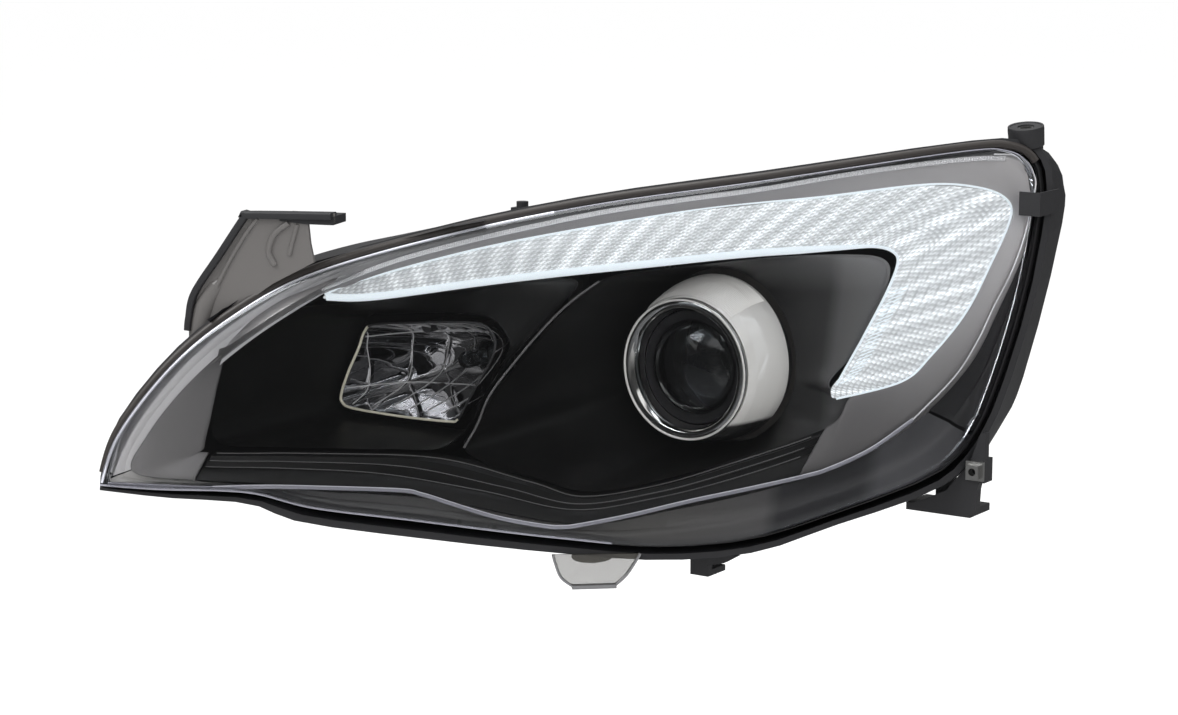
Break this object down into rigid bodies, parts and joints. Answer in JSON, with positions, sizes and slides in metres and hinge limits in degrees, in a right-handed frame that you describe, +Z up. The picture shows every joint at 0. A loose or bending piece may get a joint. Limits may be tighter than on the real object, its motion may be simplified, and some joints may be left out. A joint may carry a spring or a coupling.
{
  "type": "car headlight assembly",
  "caption": "Left-hand car headlight with a projector low beam, a reflector high beam, a hook-shaped daytime-running light guide and adjustable aim, in a sealed housing.",
  "frame": {"origin": "bore of the upper outer mounting ear, on its axis", "axes": "+X outboard (to the left of the car), -Y forward along the beam, +Z up"},
  "size_m": [0.4785, 0.4595, 0.292],
  "materials": {
    "alu": "die cast, as cast",
    "amber": "amber glass",
    "bezel": "satin black trim",
    "black": "black moulded polypropylene, fine grain",
    "board": "solder mask over glass laminate",
    "brass": "tin-bronze terminals",
    "cast": "die cast, dark",
    "chrome": "vacuum-metallised plastic",
    "glass": "clear glass",
    "grey": "dark grey moulded nylon, semi-gloss",
    "guide": "clear acrylic with moulded prisms",
    "lens": "clear polycarbonate, hard coated",
    "rubber": "black elastomer",
    "steel": "zinc plated",
    "trim": "smoke-grey semi-gloss trim",
    "white": "natural white acetal"
  },
  "bodies": {
    "shell": {"housing": "black", "outer_lens": "lens", "lens_seal": "rubber", "top_weatherstrip": "rubber", "decor_frame": "trim", "high_beam_bezel": "bezel", "projector_bezel": "bezel", "drl_light_guide": "guide", "drl_reflector": "chrome", "drl_led_board": "board", "indicator_reflector": "chrome", "inner_arm_bracket": "grey", "lower_outer_bracket": "black", "clip_nut": "steel", "bottom_hook_bracket": "black", "ear_sleeve": "steel", "top_clip": "black", "lens_clips": "steel", "housing_screws": "steel", "driver_module": "alu", "main_connector": "black", "connector_pins": "brass", "vent_elbows": "rubber", "leveling_motor": "black", "motor_connector": "grey", "pivot_stud": "steel"},
    "optics": {"carrier_frame": "grey", "projector_reflector": "chrome", "lens_holder": "cast", "projector_lens": "glass", "lens_retainer": "black", "projector_ring": "chrome", "projector_shroud": "chrome", "cutoff_shield": "steel", "low_beam_bulb": "glass", "low_bulb_plug": "black", "high_reflector": "chrome", "high_beam_bulb": "glass", "high_bulb_plug": "black"},
    "gimbal": {"pivot_socket": "white"},
    "low_clip": {"low_bulb_clip": "steel"},
    "high_clip": {"high_bulb_clip": "steel"},
    "plunger": {"level_plunger": "white"},
    "level_screw": {"level_adjuster": "white"},
    "aim_rod": {"aim_stud": "steel"},
    "aim_screw": {"aim_adjuster": "white"},
    "low_cap": {"low_beam_cap": "black", "low_cap_seal": "rubber"},
    "high_cap": {"high_beam_cap": "black", "high_cap_seal": "rubber"},
    "bulb_holder": {"indicator_holder": "grey", "indicator_bulb": "amber"}
  },
  "joints": [
    {"name": "aim_yaw", "type": "hinge", "parent": "shell", "child": "gimbal", "pos_m": [-0.259, -0.152, -0.087], "axis": [0, 0, 1], "range_deg": [-1.5, 1.5]},
    {"name": "level_tilt", "type": "hinge", "parent": "gimbal", "child": "optics", "pos_m": [-0.259, -0.152, -0.087], "axis": [1, 0, 0], "range_deg": [-1.5, 1.5]},
    {"name": "aim_rod_slide", "type": "slide", "parent": "shell", "child": "aim_rod", "axis": [0, 1, 0], "range_m": [-0.0019, 0.0019]},
    {"name": "plunger_slide", "type": "slide", "parent": "shell", "child": "plunger", "axis": [0, 1, 0], "range_m": [-0.0033, 0.0033]},
    {"name": "aim_screw_turn", "type": "hinge", "parent": "shell", "child": "aim_screw", "pos_m": [-0.187, -0.037, -0.087], "axis": [0, 1, 0], "range_deg": [-230, 230]},
    {"name": "level_screw_turn", "type": "hinge", "parent": "shell", "child": "level_screw", "pos_m": [-0.251, -0.088, -0.207], "axis": [0, 1, 0], "range_deg": [-205, 205]},
    {"name": "low_cap_twist", "type": "hinge", "parent": "shell", "child": "low_cap", "pos_m": [-0.157, -0.026, -0.152], "axis": [0, 1, 0], "range_deg": [0, 35]},
    {"name": "high_cap_twist", "type": "hinge", "parent": "shell", "child": "high_cap", "pos_m": [-0.303, -0.123, -0.153], "axis": [0, 1, 0], "range_deg": [0, 35]},
    {"name": "holder_twist", "type": "hinge", "parent": "shell", "child": "bulb_holder", "pos_m": [-0.035, -0.036, -0.107], "axis": [0, 1, 0], "range_deg": [0, 40]},
    {"name": "low_clip_swing", "type": "hinge", "parent": "optics", "child": "low_clip", "pos_m": [-0.157, -0.0493, -0.167], "axis": [1, 0, 0], "range_deg": [-22, 0]},
    {"name": "high_clip_swing", "type": "hinge", "parent": "optics", "child": "high_clip", "pos_m": [-0.303, -0.1933, -0.168], "axis": [1, 0, 0], "range_deg": [-22, 0]}
  ],
  "couplings": [
    {"joint": "aim_rod_slide", "follows": "aim_yaw", "m_per_rad": 0.072},
    {"joint": "aim_screw_turn", "follows": "aim_yaw", "ratio": 150.8},
    {"joint": "plunger_slide", "follows": "level_tilt", "m_per_rad": 0.122},
    {"joint": "level_screw_turn", "follows": "level_tilt", "ratio": 127.8}
  ]
}
